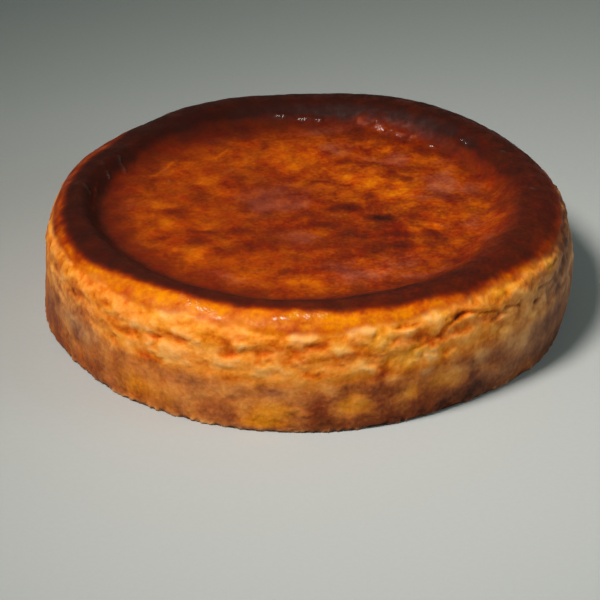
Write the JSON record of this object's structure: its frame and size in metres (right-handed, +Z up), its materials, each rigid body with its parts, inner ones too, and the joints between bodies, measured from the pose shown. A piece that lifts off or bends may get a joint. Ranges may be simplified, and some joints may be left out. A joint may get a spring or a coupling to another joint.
{
  "type": "basque cheesecake",
  "caption": "Whole round baked cheesecake with a scorched, sunken top, a soft raised rim and wrinkled golden sides, standing on its flat underside.",
  "frame": {"origin": "on the flat underside, at the middle of the rectangle that the cake takes up on its board", "axes": "+Z up out of the top; -Y towards the front, where the amber shoulder under the dark rim is widest; +X to the right of that front"},
  "size_m": [0.2454, 0.2408, 0.0554],
  "materials": {
    "baked_custard": "baked custard: scorched dark brown rim and mottled amber top with a soft satin sheen, golden tan sides"
  },
  "bodies": {
    "root": {"cheesecake": "baked_custard"}
  },
  "joints": []
}
